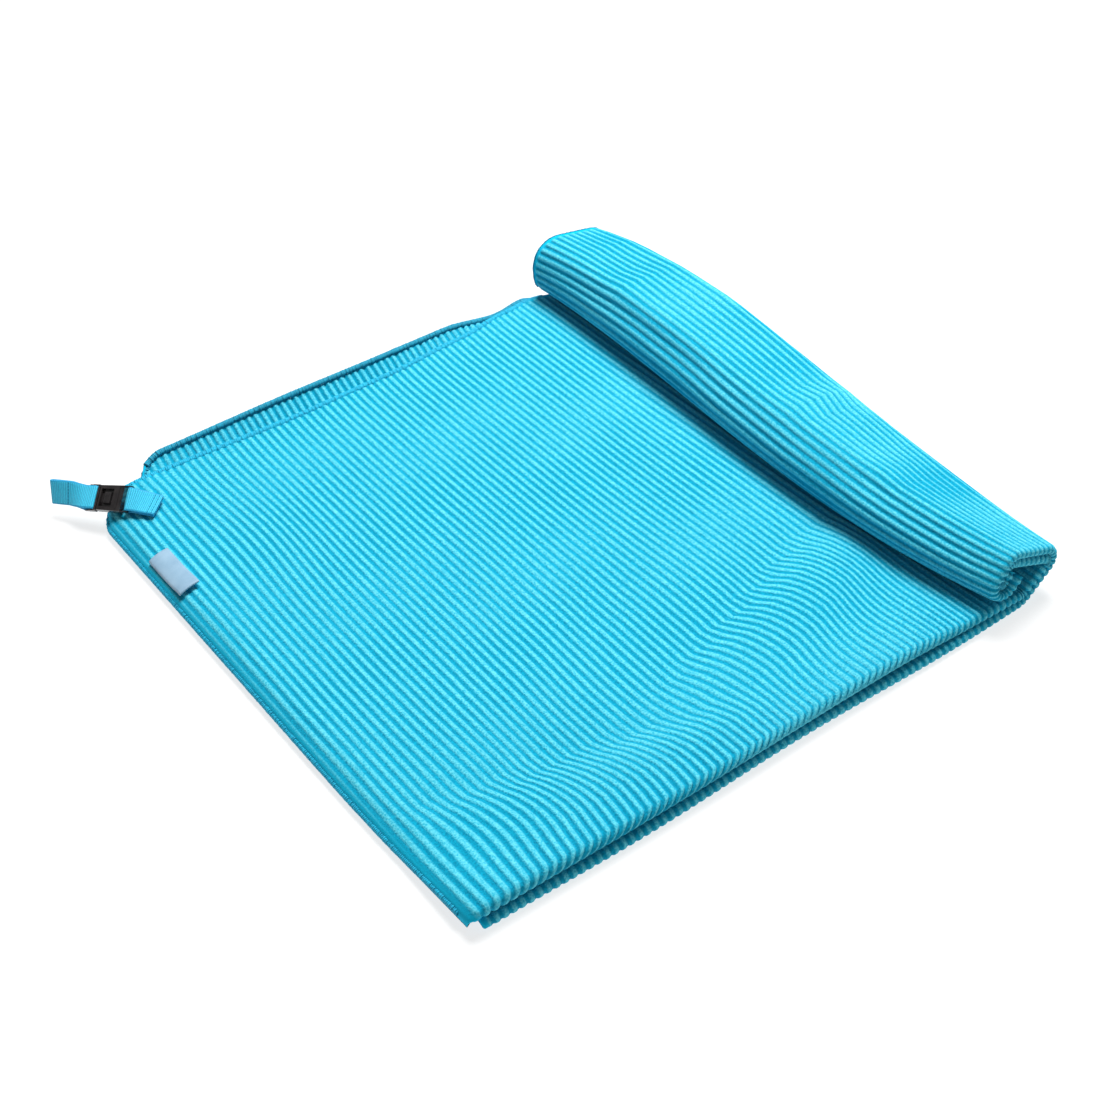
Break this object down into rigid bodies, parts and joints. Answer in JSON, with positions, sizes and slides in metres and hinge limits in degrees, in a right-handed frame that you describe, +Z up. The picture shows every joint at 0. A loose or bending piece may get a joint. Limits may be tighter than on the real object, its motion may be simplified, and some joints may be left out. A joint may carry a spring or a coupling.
{
  "type": "rolled travel towel",
  "caption": "Ribbed travel towel folded into flat layers and rolled up at one end, with a webbing hang loop, a small side-clip and a blank folded label.",
  "frame": {"origin": "middle of the flat part's underside, on the surface the towel rests on", "axes": "+X towards the roll, +Y towards the stacked hems, +Z up"},
  "size_m": [0.3014, 0.3076, 0.0377],
  "materials": {
    "towel_cloth": "soft ribbed pile",
    "webbing": "narrow woven webbing",
    "clip_plastic": "moulded plastic",
    "label_cloth": "smooth woven tape"
  },
  "bodies": {
    "root": {"towel": "towel_cloth", "hang_tab": "webbing", "hang_loop": "webbing", "clip_socket": "clip_plastic", "clip_tongue": "clip_plastic", "label": "label_cloth"}
  },
  "joints": []
}
